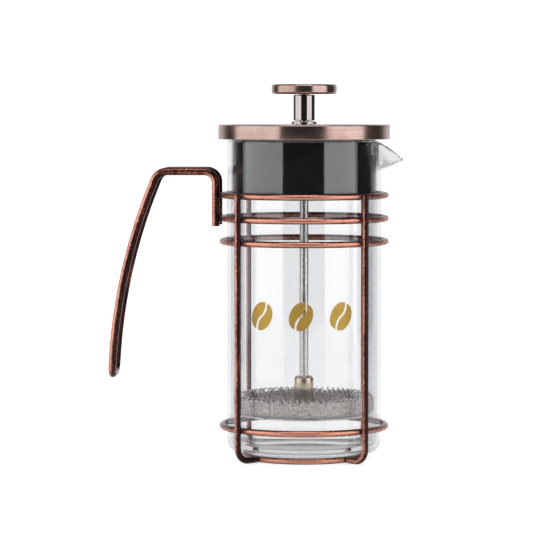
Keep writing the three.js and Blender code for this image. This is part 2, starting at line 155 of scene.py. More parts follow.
def mixed(tree, blend, share, first, second):
    made = add(tree, "Mix", data_type="RGBA", blend_type=blend)
    for socket, value in ((0, share), (6, first), (7, second)):
        if isinstance(value, bpy.types.NodeSocket):
            tree.links.new(value, made.inputs[socket])
        else:
            made.inputs[socket].default_value = value
    return made.outputs[2]


def relief(tree, shader, height, strength, depth):
    bump = add(tree, "Bump", {"Height": height, "Strength": strength, "Distance": depth})
    tree.links.new(bump.outputs["Normal"], shader.inputs["Normal"])


print("node helpers ready")

# %% [markdown]
# ## Where a pattern sits on a piece
# Brushing and drawing marks follow the way a piece was made. On a turned piece they run round the
# axis, so the pattern needs the angle, the radius and the height of each point. On a bent wire
# they run along the wire, so the sweep below stores where each point lay on the wire while it was
# still straight, and the finish reads that. Noise stretched along one of these directions then
# gives lines that follow the shape.

# %% Coordinates round the axis and along the wire
TYPICAL_RADIUS = 30 * MM


def round_axis(tree):
    """Angle times a typical radius, then radius and height, in metres."""
    centred = add(tree, "Mapping", {"Vector": on_object(tree), "Location": -AXIS})
    parts = add(tree, "SeparateXYZ", {0: centred.outputs[0]}).outputs
    angle = maths(tree, "ARCTAN2", parts["Y"], parts["X"])
    flat = add(tree, "CombineXYZ", {0: parts["X"], 1: parts["Y"]}).outputs[0]
    spread = add(tree, "VectorMath", {0: flat}, operation="LENGTH").outputs["Value"]
    run = maths(tree, "MULTIPLY", angle, TYPICAL_RADIUS)
    return add(tree, "CombineXYZ", {0: run, 1: spread, 2: parts["Z"]}).outputs[0]


def along_wire(tree):
    """Across the wire in X and Y and along it in Z, in metres."""
    return add(tree, "Attribute", attribute_name="straight").outputs["Vector"]


def streaks(tree, place, scale, detail):
    """Noise stretched by its own scale for each direction, which is small along the streaks."""
    stretched = add(tree, "Mapping", {"Vector": place, "Scale": scale})
    return speckle(tree, stretched.outputs[0], 1.0, detail)


print("pattern coordinates ready")

# %% [markdown]
# ## Antique copper
# The cage is steel wire, plated with copper, blackened and then rubbed back. A brush reaches the
# sides of a wire, so copper shows there, and the dark patina stays above, below and round the
# welds. The same mask also paints a highlight on the sides and painted shade above and below. A
# painted mask could say where, but a stored number does it without an image: the code that makes
# each wire stores how well the brush reached each point, and how light it is painted. Blotches
# break that up, and fine lines along the wire carry the marks of the brush.

# %% Antique copper finish
# Dark end: patina and painted shade. Bright end: rubbed copper and painted highlight.
PATINA_AND_SHADE = (0.026, 0.013, 0.013)
OLD_COPPER = (0.18, 0.060, 0.043)
RUBBED_AND_LIT_COPPER = (0.57, 0.245, 0.172)
LINE_SCALE = (2600, 2600, 90)
BLOTCH_SHARE, LINE_SHARE = 0.95, 0.5


def antique_copper():
    tree, shader, finish = new_finish("antique_copper", metallic=0.92)
    rubbed_and_lit = add(tree, "Attribute", attribute_name="rubbed_and_lit").outputs["Fac"]
    lines = streaks(tree, along_wire(tree), LINE_SCALE, detail=3.0)
    place = on_object(tree)
    blotches = speckle(tree, place, scale=800, detail=4.0)
    clouds = speckle(tree, place, scale=45, detail=2.0)
    broken = maths(tree, "ADD", blotches, clouds)
    broken = maths(tree, "MULTIPLY_ADD", broken, BLOTCH_SHARE, -BLOTCH_SHARE)
    lined = maths(tree, "MULTIPLY_ADD", lines, LINE_SHARE, -LINE_SHARE / 2)
    wear_and_light = maths(tree, "ADD", maths(tree, "ADD", rubbed_and_lit, broken), lined)
    drive(tree, shader, "Base Color", wear_and_light, (0.12, PATINA_AND_SHADE), (0.42, OLD_COPPER), (0.8, RUBBED_AND_LIT_COPPER))
    drive(tree, shader, "Roughness", wear_and_light, (0.1, grey(0.22)), (0.9, grey(0.34)))
    relief(tree, shader, lines, strength=0.25, depth=0.03 * MM)
    return finish


COPPER_WIRE = antique_copper()
print("finish:", COPPER_WIRE.name)

# %% [markdown]
# ## Brushed copper, chrome, steel and nickel
# The lid and the knob are plated sheet, spun against an abrasive, so their lines run round the
# axis. The neck and the ferrule are mirror bright. The rod and the filter's steel parts keep the
# faint marks of drawing and turning, and the coupling is nickel over brass, worn to a warm tint.
# One function makes them all: a base colour that the lines darken a little and the handling stains
# in clouds, a roughness that wanders, and relief as deep as the tool's marks.

# %% Turned and brushed metals
MOST_STAINED = 0.6
SMOOTHEST, ROUGHEST = 0.8, 1.25


def turned_metal(slot, colour, roughness, line_depth, line_scale, stain, in_lines=0.75):
    tree, shader, finish = new_finish(slot, metallic=1.0)
    place = round_axis(tree)
    lines = streaks(tree, place, line_scale, detail=4.0)
    clouds = speckle(tree, place, scale=120, detail=3.0)
    darker = [channel * in_lines for channel in colour]
    base = ramp(tree, lines, [(0.3, darker), (0.62, colour)])
    share = ramp(tree, clouds, [(0.45, grey(0)), (0.75, grey(MOST_STAINED))])
    stained = mixed(tree, "MULTIPLY", share, base, (*stain, 1))
    tree.links.new(stained, shader.inputs["Base Color"])
    drive(tree, shader, "Roughness", clouds,
          (0.3, grey(roughness * SMOOTHEST)), (0.7, grey(roughness * ROUGHEST)))
    relief(tree, shader, lines, strength=0.3, depth=line_depth)
    return finish


BRUSHED_COPPER = turned_metal("brushed_copper", colour=(0.42, 0.30, 0.268), roughness=0.21,
                              line_depth=0.008 * MM, line_scale=(18, 2400, 2400),
                              stain=(0.75, 0.58, 0.52))
CHROME = turned_metal("chrome", colour=(0.385, 0.345, 0.335), roughness=0.05, line_depth=0.0,
                      line_scale=(40, 900, 900), stain=(0.9, 0.88, 0.86), in_lines=0.96)
STEEL = turned_metal("stainless_steel", colour=(0.78, 0.76, 0.75), roughness=0.27,
                     line_depth=0.006 * MM, line_scale=(60, 2500, 900), stain=(0.8, 0.79, 0.78))
NICKEL = turned_metal("nickel", colour=(0.72, 0.60, 0.44), roughness=0.15,
                      line_depth=0.006 * MM, line_scale=(40, 1800, 1800), stain=(0.7, 0.6, 0.45))
print("finishes:", BRUSHED_COPPER.name, CHROME.name, STEEL.name, NICKEL.name)

# %% [markdown]
# ## Clear glass
# The beaker is blown and drawn, so its walls are nearly but not quite even. A very faint swell in
# the surface makes reflections run like those in real glass. Blender's glass stops lamplight, and
# everything behind it would go dark, so the usual remedy is used: for shadow rays the glass is
# swapped for a transparent surface, which lets the light through. Glass seen at a slant is also a
# mirror, and in a studio with dark corners the beaker's sides would turn grey. So where the
# surface slants, all but the last sliver at the outline is mixed with the same transparent
# surface: the sides stay clear, and a thin dark line still draws the edge.

# %% Clear glass finish
GLASS_IOR = 1.47
SIDE_CLEARING = 0.75
GLASS_TINT, SEEN_TINT, SHADOW_TINT = (0.822, 0.826, 0.834), (0.88, 0.885, 0.895), grey(0.98)


def clear_glass():
    tree, shader, finish = new_finish(
        "clear_glass", transmission_weight=1.0, ior=GLASS_IOR, roughness=0.0, base_color=(*GLASS_TINT, 1))
    swell = speckle(tree, on_object(tree), scale=28, detail=1.0)
    relief(tree, shader, swell, strength=0.12, depth=0.15 * MM)
    shadow = add(tree, "LightPath").outputs["Is Shadow Ray"]
    tint = mixed(tree, "MIX", shadow, (*SEEN_TINT, 1), (*SHADOW_TINT, 1))
    passing = add(tree, "BsdfTransparent", {"Color": tint})
    slant = add(tree, "LayerWeight").outputs["Facing"]
    cleared = ramp(tree, slant, [(0.35, grey(0)), (0.62, grey(SIDE_CLEARING)),
                                 (0.93, grey(SIDE_CLEARING)), (0.99, grey(0))])
    clear = maths(tree, "MAXIMUM", shadow, cleared)
    either = add(tree, "MixShader", {0: clear, 1: shader.outputs[0], 2: passing.outputs[0]})
    tree.links.new(either.outputs[0], tree.nodes["Material Output"].inputs["Surface"])
    return finish


GLASS = clear_glass()
print("finish:", GLASS.name)

# %% [markdown]
# ## Black plastic
# The skirt is moulded in glossy black. A plain black shader would look like a hole, so the gloss
# does the work: a high index of refraction makes the reflections strong. A trace of orange-peel in
# the surface bends them, as on any moulding, and soft scuffs from handling, which dull the gloss
# here and there, only show inside them.

# %% Black plastic finish
PLASTIC_IOR = 1.65
DEEP_BLACK, SCUFFED_BLACK = (0.003, 0.003, 0.004), (0.008, 0.008, 0.010)
SCUFF_SCALE = (160, 1500, 90)


def black_plastic():
    tree, shader, finish = new_finish("black_plastic", ior=PLASTIC_IOR)
    place = round_axis(tree)
    scuffs = streaks(tree, place, SCUFF_SCALE, detail=5.0)
    drive(tree, shader, "Base Color", scuffs, (0.4, DEEP_BLACK), (0.8, SCUFFED_BLACK))
    drive(tree, shader, "Roughness", scuffs, (0.35, grey(0.05)), (0.75, grey(0.12)))
    peel = speckle(tree, place, scale=300, detail=1.0)
    relief(tree, shader, peel, strength=0.1, depth=0.02 * MM)
    return finish


PLASTIC = black_plastic()
print("finish:", PLASTIC.name)

# %% [markdown]
# ## Woven steel
# The screen is cloth of steel wire, so fine that only its sparkle shows. Two sets of waves at right
# angles stand for the warp and the weft: where both are low is a hole, painted dark as painted shade
# for the dim inside seen through it. The pattern runs on the piece's own UV map, in metres, so that
# the weave is as fine on the bent-up edge as on the flat. Round wires scatter light every way, as no
# flat mirror does, so the finish is only partly metallic, and patches of noise paint some wires
# bright, as painted glints, and leave others dull.

# %% Woven steel finish
WEAVE_PITCH = 0.42 * MM
BAND_AT_SCALE_ONE = 0.314
HOLE_SHADE, DULL_WIRE, GLINT = (0.08, 0.07, 0.065), (0.38, 0.345, 0.325), (0.76, 0.71, 0.68)


def woven_steel():
    tree, shader, finish = new_finish("screen_mesh", metallic=0.6)
    cloth = add(tree, "UVMap", uv_map="weave").outputs["UV"]
    warp, weft = (
        add(tree, "TexWave", {"Vector": cloth, "Scale": BAND_AT_SCALE_ONE / WEAVE_PITCH},
            bands_direction=direction).outputs["Fac"]
        for direction in ("X", "Y"))
    patches = speckle(tree, cloth, scale=700, detail=5.0, Roughness=0.7)
    lit = maths(tree, "MULTIPLY", maths(tree, "MAXIMUM", warp, weft), patches)
    # Holes are painted dark as painted shade, and the bright patches are painted glints.
    drive(tree, shader, "Base Color", lit, (0.2, HOLE_SHADE), (0.36, DULL_WIRE), (0.55, GLINT))
    drive(tree, shader, "Roughness", patches, (0.3, grey(0.36)), (0.7, grey(0.6)))
    relief(tree, shader, lit, strength=0.8, depth=0.1 * MM)
    return finish


SCREEN = woven_steel()
print("finish:", SCREEN.name)

# %% [markdown]
# ## Putting a piece on show
# Each piece ends the same way. Its mesh becomes an object at the origin, smooth except across
# sharp edges, with its finish. It rides on a CAD body, replaces the CAD nodes that it stands for,
# and takes the record's material slot that its finish is named after. One function does all of
# that, so that no piece can miss a step.

# %% Show a finished piece
SHARP = math.radians(35)


def mesh_from(bm, name, finish):
    mesh = bpy.data.meshes.new(name)
    bm.to_mesh(mesh)
    bm.free()
    mesh.materials.append(finish)
    return mesh


def place_in_scene(name, data):
    thing = bpy.data.objects.new(name, data)
    bpy.context.scene.collection.objects.link(thing)
    return thing


def show(bm, name, body, finish, *nodes):
    mesh = mesh_from(bm, name, finish)
    mesh.shade_smooth()
    mesh.set_sharp_from_angle(angle=SHARP)
    piece = place_in_scene(name, mesh)
    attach(piece, body)
    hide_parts(*nodes)
    size = piece.dimensions / MM
    print(f"{name}: {len(mesh.polygons)} faces, {size.x:.1f} x {size.y:.1f} x {size.z:.1f} mm")


# %% [markdown]
# ## Sweeping a wire
# A wire is a circle carried along a path. The path is a list of places, each one a matrix whose Z
# points along the wire. A straight adds a place further on, and a bend turns the last place about
# the bend's centre, step by step, as a bending tool does. The circle is then extruded from place
# to place. That keeps full control of straights and true bends, where a bevelled curve would
# leave their joins to its own handles.

# %% Paths and the sweep
WIRE_SIDES = 20


def place_at(point, heading, outward):
    z = heading.normalized()
    x = (outward - outward.dot(z) * z).normalized()
    place = Matrix((x, z.cross(x), z)).transposed().to_4x4()
    place.translation = point
    return place


def go_straight(path, length):
    path.append(path[-1] @ Matrix.Translation((0, 0, length)))


def bend_towards(path, side, bend_radius, angle, steps):
    heading = path[-1].col[2].to_3d()
    side = (side - side.dot(heading) * heading).normalized()
    centre = path[-1].translation + side * bend_radius
    turn = Matrix.Rotation(angle / steps, 4, heading.cross(side))
    turn = Matrix.Translation(centre) @ turn @ Matrix.Translation(-centre)
    for _ in range(steps):
        path.append(turn @ path[-1])


def rounded_ends(path, wire_radius, rounding, steps=5):
    """Shrinks the first and last places over a quarter circle, so that the ends come out rounded."""
    def tip(place, sign):
        rounds = []
        for step in range(steps, 0, -1):
            angle = math.pi / 2 * step / steps
            share = 1 - rounding / wire_radius * (1 - math.cos(angle))
            out = Matrix.Translation((0, 0, sign * rounding * math.sin(angle)))
            rounds.append(place @ out @ Matrix.Diagonal((share, share, 1, 1)))
        return rounds
    first = path[0] @ Matrix.Translation((0, 0, rounding))
    last = path[-1] @ Matrix.Translation((0, 0, -rounding))
    return [*tip(first, -1), first, *path[1:-1], last, *reversed(tip(last, 1))]


def sweep(path, wire_radius, closed=False, sides=WIRE_SIDES):
    """Carries a circle along the path, and stores on each point where it lay on the straight wire."""
    bm = bmesh.new()
    straight = bm.verts.layers.float_vector.new("straight")
    made = bmesh.ops.create_circle(bm, segments=sides, radius=wire_radius, matrix=path[0])
    back = path[0].inverted()
    for vert in made["verts"]:
        vert[straight] = back @ vert.co
    first = front = list(bm.edges)
    last, run = path[0], 0.0
    for place in path[1:]:
        grown = bmesh.ops.extrude_edge_only(bm, edges=front)["geom"]
        verts = [part for part in grown if isinstance(part, bmesh.types.BMVert)]
        bmesh.ops.transform(bm, matrix=place @ last.inverted(), verts=verts)
        run += (place.translation - last.translation).length
        for vert in verts:
            vert[straight].z = run
        ring = set(verts)
        front = [part for part in grown if isinstance(part, bmesh.types.BMEdge)
                 and part.verts[0] in ring and part.verts[1] in ring]
        last = place
    if closed:
        bmesh.ops.bridge_loops(bm, edges=first + front)
    else:
        bmesh.ops.edgeloop_fill(bm, edges=first)
        bmesh.ops.edgeloop_fill(bm, edges=front)
    bmesh.ops.recalc_face_normals(bm, faces=bm.faces)
    return bm


print("sweep ready, wires have", WIRE_SIDES, "sides")

# %% [markdown]
# ## Rubbing a wire back
# The finish needs to know how well the brush reached each point, and how light it is painted.
# Only the code that makes a wire knows which way it faces, so it stores that here, as a number on
# each point. The brush works best on the side that faces out, or on the side that is given, and
# nearly as well on the back of it, and that side is also painted lighter, a painted highlight.
# Above and below, where the wire faces neither way, the patina stays, and with it painted shade.

# %% Store how well the brush reached, with the painted highlight and shade
BACK_SHARE, BRUSH_FOCUS = 0.75, 1.8


def store_rubbing_and_light(bm, spared=0.0, side=None, painted_shade_at_ends=0.0):
    """Spared is left dark everywhere; painted shade at ends darkens only the left and right ends."""
    rubbed_and_lit = bm.verts.layers.float.new("rubbed_and_lit")
    bm.normal_update()
    for vert in bm.verts:
        outward = level(side or vert.co - AXIS)
        facing = vert.normal.dot(outward)
        # Facing out is painted lighter, partly brush reach and partly painted highlight; above and below
        # goes dark, partly painted shade.
        reach = (1.0 if facing > 0 else BACK_SHARE) * abs(facing) ** BRUSH_FOCUS
        vert[rubbed_and_lit] = max(0.0, reach - spared - painted_shade_at_ends * outward.x ** 2)


print("back of a wire rubbed to", BACK_SHARE, "of its front")

# %% [markdown]
# ## Rings of the cage
# Four rings hold the glass and a fifth, smaller one carries it. Each is one wire bent to a full
# circle and butt-welded. The path is a place turned about the press axis in even steps, and the
# sweep's last circle is bridged to its first, so no seam is left. The rings are painted light inside
# and outside, and darker at their left and right ends as seen from the front: painted shade where
# the ring turns side-on.

# %% Five rings
RING_STEPS = 120


def ring_path(ring_radius, height):
    start = place_at(AXIS + Vector((ring_radius, 0, height)), Vector((0, 1, 0)), Vector((1, 0, 0)))
    axis_out, axis_back = Matrix.Translation(AXIS), Matrix.Translation(-AXIS)
    return [axis_out @ Matrix.Rotation(2 * math.pi * step / RING_STEPS, 4, UP) @ axis_back @ start
            for step in range(RING_STEPS)]


WIRE = (top("ring_top") - bottom("ring_top")) / 2
RING = radius("ring_top") - WIRE
for node, name in (("ring_top", "top_ring_wire"), ("ring_second", "second_ring_wire"),
                   ("ring_third", "third_ring_wire"), ("ring_lower", "lower_ring_wire"),
                   ("base_ring", "foot_ring_wire")):
    bm = sweep(ring_path(radius(node) - WIRE, middle(node)), WIRE, closed=True)
    # The left and right ends of each ring are painted darker here: painted shade.
    store_rubbing_and_light(bm, painted_shade_at_ends=0.35)
    show(bm, name, "frame", COPPER_WIRE, node)

# %% [markdown]
# ## Legs
# Four wires stand outside the rings, turn in under the glass and end at the foot ring. They are
# cut with rounded tips, as a tumbled wire has. Each leg is the same path, started at another angle
# round the axis, so one function makes all four. All four are painted lighter on the same left and
# front side, a painted highlight where the left soft box lights them, with painted shade on the
# other side.

# %% Four legs
WELD_GAP = 0.3 * MM
LEG_BEND, BEND_STEPS = 6 * MM, 10
# The side given here is painted lighter on all four legs: a painted highlight from the left soft box.
LEG_LIT_SIDE, LEG_SPARED = Vector((-0.8, -0.6, 0)), 0.24
LEG_AXIS_RADIUS = RING + 2 * WIRE + WELD_GAP


def leg(node, name, azimuth):
    outward = Vector((math.cos(azimuth), math.sin(azimuth), 0))
    start = AXIS + outward * LEG_AXIS_RADIUS + UP * top(node)
    path = [place_at(start, -UP, outward)]
    go_straight(path, top(node) - WIRE - LEG_BEND)
    bend_towards(path, -outward, LEG_BEND, math.pi / 2, BEND_STEPS)
    go_straight(path, LEG_AXIS_RADIUS - LEG_BEND - radius("base_ring") - WELD_GAP)
    bm = sweep(rounded_ends(path, WIRE, rounding=0.75 * WIRE), WIRE)
    store_rubbing_and_light(bm, spared=LEG_SPARED, side=LEG_LIT_SIDE)
    show(bm, name, "frame", COPPER_WIRE, node)


LEG_ANGLES = {"rear_right": 45, "rear_left": 135, "front_left": 225, "front_right": 315}
for where, degrees in LEG_ANGLES.items():
    leg(f"leg_{where}", f"{where}_leg_wire", math.radians(degrees))

# %% [markdown]
# ## Handle
# The handle is one thick wire. It starts under the second ring, goes up past the top ring, turns
# out, slopes down in a long easy curve, crosses over at the foot and comes back the same way. The
# CAD box gives its reach and height; the bends are the ones a hand-filling grip needs. The cut
# ends are only eased, because a thick wire is sawn and touched on a belt. Like the legs it is
# painted lighter on its left and front side, a painted highlight where the left soft box lights it,
# with painted shade on the far side, and as it stands clear of the cage, nothing of it is spared.

# %% Handle loop
GRIP_WIRE = 1.85 * MM
GRIP_CURVE, GRIP_LEAN = 260 * MM, math.radians(3.45)
INNER_BEND, OUTER_BEND, FOOT_BEND = 5.2 * MM, 6.5 * MM, 6 * MM
GRIP_TAIL, GRIP_EASE = 3.5 * MM, 0.35 * MM
CURVE_STEPS, FOOT_STEPS, GRIP_SIDES = 24, 12, 28
# The side given here is painted lighter: a painted highlight where the left soft box lights the handle.
GRIP_LIT_SIDE = Vector((-0.85, -0.5, 0))
grip_low, grip_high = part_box("handle_loop")
NEAR_Y, FAR_Y = grip_low.y + GRIP_WIRE, grip_high.y - GRIP_WIRE
GRIP_TOP = grip_high.z - GRIP_WIRE

foot_x = grip_low.x + GRIP_WIRE + FOOT_BEND * math.sin(GRIP_LEAN)
foot_z = grip_low.z + GRIP_WIRE + FOOT_BEND * math.cos(GRIP_LEAN)
curve_x = foot_x + GRIP_CURVE * math.cos(GRIP_LEAN)
curve_z = foot_z - GRIP_CURVE * math.sin(GRIP_LEAN)
shoulder_lean = math.asin((GRIP_TOP - OUTER_BEND - curve_z) / (GRIP_CURVE - OUTER_BEND))
shoulder_x = curve_x - (GRIP_CURVE - OUTER_BEND) * math.cos(shoulder_lean)
tail_x = grip_high.x - GRIP_WIRE
tail_z = middle("ring_second") - GRIP_TAIL
OUT, IN, FAR = Vector((-1, 0, 0)), Vector((1, 0, 0)), Vector((0, 1, 0))

grip = [place_at(Vector((tail_x, NEAR_Y, tail_z)), UP, OUT)]
go_straight(grip, GRIP_TOP - INNER_BEND - tail_z)
bend_towards(grip, OUT, INNER_BEND, math.pi / 2, BEND_STEPS)
go_straight(grip, tail_x - INNER_BEND - shoulder_x)
bend_towards(grip, -UP, OUTER_BEND, math.pi / 2 - shoulder_lean, BEND_STEPS)
bend_towards(grip, IN, GRIP_CURVE, shoulder_lean - GRIP_LEAN, CURVE_STEPS)
down = grip[-1].col[2].to_3d()
bend_towards(grip, FAR, FOOT_BEND, math.pi / 2, FOOT_STEPS)
go_straight(grip, FAR_Y - NEAR_Y - 2 * FOOT_BEND)
bend_towards(grip, -down, FOOT_BEND, math.pi / 2, FOOT_STEPS)
bend_towards(grip, IN, GRIP_CURVE, shoulder_lean - GRIP_LEAN, CURVE_STEPS)
bend_towards(grip, IN, OUTER_BEND, math.pi / 2 - shoulder_lean, BEND_STEPS)
go_straight(grip, tail_x - INNER_BEND - shoulder_x)
bend_towards(grip, -UP, INNER_BEND, math.pi / 2, BEND_STEPS)
go_straight(grip, GRIP_TOP - INNER_BEND - tail_z)
bm = sweep(rounded_ends(grip, GRIP_WIRE, GRIP_EASE), GRIP_WIRE, sides=GRIP_SIDES)
store_rubbing_and_light(bm, side=GRIP_LIT_SIDE)
show(bm, "handle_wire", "frame", COPPER_WIRE, "handle_loop")

# %% [markdown]
# ## Welds
# Where wires cross they are resistance welded: pressed together hot until they fuse in a small
# dark collar. Each weld is a ball, flattened into the gap between the two wires and roughened with
# noise so that no two are alike. That is simpler than blending the wires into each other, and it
# keeps them whole. All are one piece, since they belong to no wire in particular.

# %% Weld beads
LEG_WELD = Vector((1.15, 1.5, 1.1)) * MM
FOOT_WELD = Vector((1.2, 1.5, 1.25)) * MM
GRIP_WELD = Vector((1.3, 1.7, 1.3)) * MM
LUMPS, LUMP_SCALE, WELD_SPARED = 0.16, 1.7, 0.45


def weld_bead(bm, azimuth, distance, height, size):
    turn = Matrix.Rotation(azimuth, 4, UP)
    centre = AXIS + turn @ Vector((distance, 0, height))
    grown = bmesh.ops.create_icosphere(bm, subdivisions=3, radius=1.0)["verts"]
    for vert in grown:
        vert.co *= 1 + LUMPS * noise.noise(vert.co * LUMP_SCALE + centre / MM)
    bmesh.ops.scale(bm, vec=size, verts=grown)
    bmesh.ops.transform(bm, matrix=Matrix.Translation(centre) @ turn, verts=grown)


bm = bmesh.new()
ring_heights = [middle(node) for node in ("ring_top", "ring_second", "ring_third", "ring_lower")]
ring_gap = RING + WIRE + WELD_GAP / 2
for degrees in LEG_ANGLES.values():
    for height in ring_heights:
        weld_bead(bm, math.radians(degrees), ring_gap, height, LEG_WELD)
    weld_bead(bm, math.radians(degrees), radius("base_ring") + WELD_GAP / 2, WIRE, FOOT_WELD)
grip_azimuth = math.atan2(FAR_Y, tail_x - AXIS.x)
for azimuth in (grip_azimuth, -grip_azimuth):
    for height in ring_heights[:2]:
        weld_bead(bm, azimuth, ring_gap, height, GRIP_WELD)
bm.verts.layers.float_vector.new("straight")
# The welds take the same painted highlight and shade as the wires, and are left darker overall.
store_rubbing_and_light(bm, spared=WELD_SPARED)
show(bm, "weld_beads", "frame", COPPER_WIRE)

# %% [markdown]
# ## Turned pieces
# Most other pieces are round about the axis: a half outline, spun once round, as on a lathe. The
# outline is a few points of radius and height, with corners eased by short arcs, since no real
# edge is sharp. A Bevel modifier could ease them afterwards, but arcs in the outline keep each
# rounding where it belongs and at its own size. After the spin the seam and the poles are merged
# and the faces are turned to point out.

# %% Outline arcs and the spin
SEAM = 0.001 * MM


def arc(centre, size, start, end, steps=6):
    """Points of radius and height on an arc, angles in degrees, 0 outwards and 90 up."""
    angles = (math.radians(start + (end - start) * step / steps) for step in range(steps + 1))
    return [(centre[0] + size * math.cos(angle), centre[1] + size * math.sin(angle)) for angle in angles]


def spun(outline, steps):
    bm = bmesh.new()
    verts = [bm.verts.new(AXIS + Vector((max(0.0, out), 0, height))) for out, height in outline]
    edges = [bm.edges.new(pair) for pair in zip(verts, verts[1:])]
    bmesh.ops.spin(bm, geom=verts + edges, cent=AXIS, axis=UP, angle=2 * math.pi, steps=steps,
                   use_merge=True)
    bmesh.ops.remove_doubles(bm, verts=bm.verts, dist=SEAM)
    bmesh.ops.recalc_face_normals(bm, faces=bm.faces)
    return bm


print(f"spin ready, points closer than {SEAM / MM} mm are merged")

# %% [markdown]
# ## Glass beaker
# The beaker is a tube with a thick, round-cornered floor and a fire-polished rim. Its spout is
# drawn out while the glass is soft: a tool pulls the rim outwards and down over about a seventh of
# the way round. The spout could be modelled apart and joined on, but the join would show in clear
# glass, so the same pull is applied here to the points of the spun glass. It is strongest in the
# spout's middle and at the rim, and fades to nothing at its sides and root.

# %% Beaker with a drawn spout
GLASS_WALL, GLASS_FLOOR = 1.8 * MM, 2.8 * MM
OUTER_CORNER, INNER_CORNER = 5 * MM, 3.5 * MM
SPOUT_REACH, SPOUT_DROP, SPOUT_DEPTH = 11.2 * MM, 9.4 * MM, 14.8 * MM
SPOUT_HALF_ANGLE, SPOUT_TIP, SPOUT_PINCH, SPOUT_CURL = math.radians(27), 0.08, 1.6, 1.2
SPOUT_ROWS = 16

glass_out = radius("glass_beaker")
glass_in = glass_out - GLASS_WALL
glass_base, rim = bottom("glass_beaker"), top("glass_beaker")
floor_top = glass_base + GLASS_FLOOR
wall_rows = [rim - SPOUT_DEPTH + (SPOUT_DEPTH - GLASS_WALL / 2) * row / SPOUT_ROWS
             for row in range(SPOUT_ROWS)]
bm = spun([
    (0, glass_base),
    *arc((glass_out - OUTER_CORNER, glass_base + OUTER_CORNER), OUTER_CORNER, -90, 0, steps=10),
    *[(glass_out, height) for height in wall_rows],
    *arc((glass_out - GLASS_WALL / 2, rim - GLASS_WALL / 2), GLASS_WALL / 2, 0, 180, steps=10),
    *[(glass_in, height) for height in reversed(wall_rows)],
    *arc((glass_in - INNER_CORNER, floor_top + INNER_CORNER), INNER_CORNER, 0, -90, steps=8),
    (0, floor_top),
], steps=240)


def spout_pull(angle):
    share = min(1.0, abs(angle) / SPOUT_HALF_ANGLE)
    eased = (math.hypot(share, SPOUT_TIP) - SPOUT_TIP) / (math.hypot(1, SPOUT_TIP) - SPOUT_TIP)
    return (1 - eased) ** SPOUT_PINCH


for vert in bm.verts:
    spread = vert.co - AXIS
    rise = (vert.co.z - rim + SPOUT_DEPTH) / SPOUT_DEPTH
    pull = spout_pull(math.atan2(spread.y, spread.x))
    if rise > 0 and pull > 0:
        vert.co += level(spread) * SPOUT_REACH * pull * rise**SPOUT_CURL
        vert.co.z -= SPOUT_DROP * pull**SPOUT_CURL * rise
show(bm, "beaker_glass", "beaker", GLASS, "glass_beaker")

# %% [markdown]
# ## Gold beans on the glass
# A plain row of three coffee beans is printed in gold on the front of the glass. A bean is two
# half ovals with a wavy slit between them. Each half is a flat outline, filled, cut into narrow
# strips and then rolled onto the glass, so that it hugs the curve and stands only a hair proud.
# A pattern in the glass finish could draw them too, but the ink's edge would not be as crisp.
# Ink has no CAD node, so the beans replace nothing. They only ride on the beaker.

# %% Printed beans
BEAN_WIDTH, BEAN_HEIGHT, BEAN_SLIT = 9.6 * MM, 13.4 * MM, 0.95 * MM
SLIT_WAVE, SLIT_LENGTH, OVAL_LENGTH, OVAL_SQUARENESS = 0.75 * MM, 0.93, 0.97, 0.9
BEAN_STEPS, STRIPS, STRIP, TOO_CLOSE = 18, 7, 1 * MM, 0.05 * MM
BEAN_PITCH, BEAN_TILT, BEANS_HEIGHT = 19 * MM, math.radians(24), 68.5 * MM
INK = 0.04 * MM
DEEP_GOLD, BRIGHT_GOLD = (0.27, 0.165, 0.022), (0.36, 0.225, 0.035)


def gold_print():
    tree, shader, finish = new_finish("gold_print", metallic=0.55, roughness=0.42)
    grain = speckle(tree, on_object(tree), scale=1400, detail=3.0)
    drive(tree, shader, "Base Color", grain, (0.3, DEEP_GOLD), (0.7, BRIGHT_GOLD))
    relief(tree, shader, grain, strength=0.3, depth=0.02 * MM)
    return finish


def half_bean(side):
    """Widths and heights along the outline of one half, down its slit and up its outside."""
    tall, outline = BEAN_HEIGHT / 2, []
    for step in range(BEAN_STEPS + 1):
        share = 1 - 2 * step / BEAN_STEPS
        slit = math.sin(share * math.pi) * SLIT_WAVE + side * BEAN_SLIT / 2
        outline.append((slit, share * tall * SLIT_LENGTH))
    for step in range(BEAN_STEPS + 1):
        angle = -math.pi / 2 + math.pi * step / BEAN_STEPS
        width = BEAN_WIDTH / 2 * math.cos(angle) ** OVAL_SQUARENESS + BEAN_SLIT / 2
        outline.append((side * width, tall * math.sin(angle) * OVAL_LENGTH))
    return outline


def printed_bean(across):
    bm = bmesh.new()
    for side in (-1, 1):
        bm.faces.new([bm.verts.new((x, 0, z)) for x, z in half_bean(side)])
    bmesh.ops.rotate(bm, cent=(0, 0, 0), matrix=Matrix.Rotation(BEAN_TILT, 3, "Y"), verts=bm.verts)
    bmesh.ops.remove_doubles(bm, verts=bm.verts, dist=TOO_CLOSE)
    for strip in range(-STRIPS, STRIPS + 1):
        geometry = [*bm.verts, *bm.edges, *bm.faces]
        bmesh.ops.bisect_plane(bm, geom=geometry, plane_co=(strip * STRIP, 0, 0), plane_no=(1, 0, 0))
    for vert in bm.verts:
        angle = (vert.co.x + across) / glass_out
        spread = glass_out + INK / 4
        height = vert.co.z + BEANS_HEIGHT
        vert.co = AXIS + Vector((math.sin(angle) * spread, -math.cos(angle) * spread, height))
    bmesh.ops.triangulate(bm, faces=bm.faces)
    bm.normal_update()
    bmesh.ops.solidify(bm, geom=bm.faces, thickness=INK)
    bmesh.ops.recalc_face_normals(bm, faces=bm.faces)
    return bm


